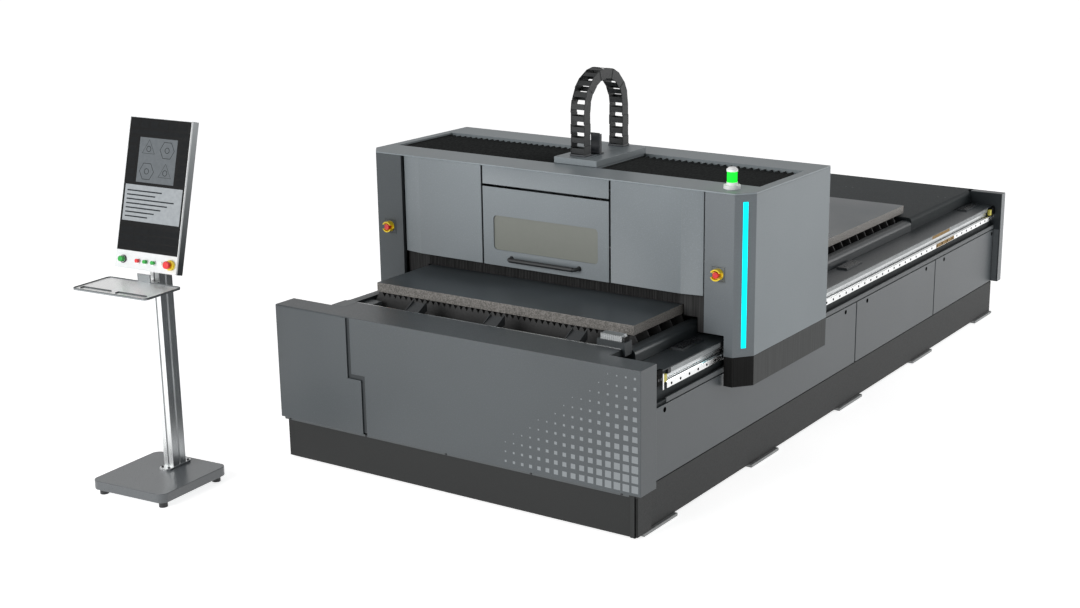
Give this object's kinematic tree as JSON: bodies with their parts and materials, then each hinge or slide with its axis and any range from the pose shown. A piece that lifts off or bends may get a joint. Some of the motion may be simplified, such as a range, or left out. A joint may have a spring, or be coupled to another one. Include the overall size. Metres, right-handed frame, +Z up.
{
  "type": "fiber laser cutting machine",
  "caption": "Flat-bed fiber laser cutter with a travelling gantry, hinged window door, toothed slat table, drag chain and standing control console.",
  "frame": {"origin": "middle of the bounding box, on the floor", "axes": "+X to the operator's right, +Y along the bed away from the front cover, +Z up"},
  "size_m": [2.6113, 5.3447, 1.8753],
  "materials": {
    "dark_paint": "matte dark grey powder coat",
    "bed_paint": "fine-textured mid-grey powder coat",
    "deck_paint": "fine-textured dark grey powder coat",
    "gantry_paint": "fine-textured blue-grey powder coat",
    "machined_steel": "ground and brushed steel",
    "slat_steel": "worn, scaled cutting slats",
    "sheet_steel": "hot-rolled plate with blue-grey mill scale",
    "black_paint": "matte black paint",
    "yellow_plastic": "bright yellow plastic",
    "red_plastic": "bright red plastic",
    "green_plastic": "bright green plastic",
    "white_plastic": "satin white plastic",
    "brush_fibre": "dark brush fibre",
    "bellows_fabric": "coated pleated fabric",
    "chain_plastic": "matte black nylon",
    "tinted_glass": "brown tinted laser-safe pane",
    "light_diffuser": "lit cyan diffuser",
    "green_lens": "green translucent lens",
    "screen_glass": "glossy black display",
    "aluminium_profile": "anodised aluminium",
    "console_silver": "pale silver paint with a dark rear shell",
    "copper": "turned copper alloy"
  },
  "bodies": {
    "bed": {"foot_plates": "machined_steel", "plinth": "dark_paint", "bed_frame": "deck_paint", "front_cover_main": "bed_paint", "front_cover_left": "bed_paint", "rear_cover": "bed_paint", "rear_deck": "deck_paint", "side_panels_right": "bed_paint", "side_panels_left": "bed_paint", "side_decks": "deck_paint", "guide_rails": "machined_steel", "gear_racks": "machined_steel", "rail_stops": "black_paint", "stop_bumpers": "yellow_plastic", "slat_rims": "deck_paint", "slats": "slat_steel", "sheet_guides": "black_paint", "calibration_station": "machined_steel", "work_sheet": "sheet_steel", "console_base": "dark_paint", "console_column": "aluminium_profile", "console_tray": "machined_steel", "console_housing": "console_silver", "console_screen": "screen_glass", "console_estop_collar": "yellow_plastic"},
    "gantry": {"gantry_saddles": "dark_paint", "bearing_blocks": "machined_steel", "drive_motors": "black_paint", "cross_beam": "gantry_paint", "column_cover_right": "gantry_paint", "column_cover_left": "gantry_paint", "column_skirts": "brush_fibre", "top_frame": "gantry_paint", "front_frame": "dark_paint", "front_panels": "gantry_paint", "rear_panel": "gantry_paint", "brush_curtains": "brush_fibre", "estop_shrouds": "yellow_plastic", "light_strip": "light_diffuser", "signal_housing": "white_plastic", "signal_lens": "green_lens", "hinge_leaves": "black_paint", "bellows": "bellows_fabric"},
    "door": {"door_panel": "gantry_paint", "door_window": "tinted_glass", "door_handle": "black_paint"},
    "carriage": {"carriage_plate": "gantry_paint", "carriage_saddle": "machined_steel", "drag_chain": "chain_plastic", "chain_feet": "black_paint"},
    "lift": {"cutting_head": "machined_steel", "nozzle": "copper"},
    "gantry_stop_right": {"estop_button_right": "red_plastic"},
    "gantry_stop_left": {"estop_button_left": "red_plastic"},
    "console_stop": {"console_estop": "red_plastic"},
    "power_push": {"power_button": "green_plastic"},
    "stop_push": {"stop_button": "red_plastic"},
    "start_push": {"start_button": "green_plastic"},
    "resume_push": {"resume_button": "green_plastic"},
    "lamp_push": {"lamp_button": "white_plastic"}
  },
  "joints": [
    {"name": "gantry_travel", "type": "slide", "parent": "bed", "child": "gantry", "axis": [0, 1, 0], "range_m": [-0.52, 2.55]},
    {"name": "cross_travel", "type": "slide", "parent": "gantry", "child": "carriage", "axis": [1, 0, 0], "range_m": [-0.806, 0.714], "deforming": ["bellows"]},
    {"name": "head_lift", "type": "slide", "parent": "carriage", "child": "lift", "axis": [0, 0, 1], "range_m": [-0.1, 0]},
    {"name": "door_swing", "type": "hinge", "parent": "gantry", "child": "door", "pos_m": [0.18567, -1.00811, 1.3165], "axis": [-1, 0, 0], "range_deg": [0, 85]},
    {"name": "gantry_stop_right_push", "type": "slide", "parent": "gantry", "child": "gantry_stop_right", "axis": [0, 1, 0], "range_m": [0, 0.005], "stiffness_N_per_m": 300},
    {"name": "gantry_stop_left_push", "type": "slide", "parent": "gantry", "child": "gantry_stop_left", "axis": [0, 1, 0], "range_m": [0, 0.005], "stiffness_N_per_m": 300},
    {"name": "console_stop_push", "type": "slide", "parent": "bed", "child": "console_stop", "axis": [-0.0725, 0.9637, -0.2571], "range_m": [0, 0.005], "stiffness_N_per_m": 300},
    {"name": "power_button_push", "type": "slide", "parent": "bed", "child": "power_push", "axis": [-0.0725, 0.9637, -0.2571], "range_m": [0, 0.004], "stiffness_N_per_m": 300},
    {"name": "stop_button_push", "type": "slide", "parent": "bed", "child": "stop_push", "axis": [-0.0725, 0.9637, -0.2571], "range_m": [0, 0.003], "stiffness_N_per_m": 300},
    {"name": "start_button_push", "type": "slide", "parent": "bed", "child": "start_push", "axis": [-0.0725, 0.9637, -0.2571], "range_m": [0, 0.003], "stiffness_N_per_m": 300},
    {"name": "resume_button_push", "type": "slide", "parent": "bed", "child": "resume_push", "axis": [-0.0725, 0.9637, -0.2571], "range_m": [0, 0.003], "stiffness_N_per_m": 300},
    {"name": "lamp_button_push", "type": "slide", "parent": "bed", "child": "lamp_push", "axis": [-0.0725, 0.9637, -0.2571], "range_m": [0, 0.003], "stiffness_N_per_m": 300}
  ]
}
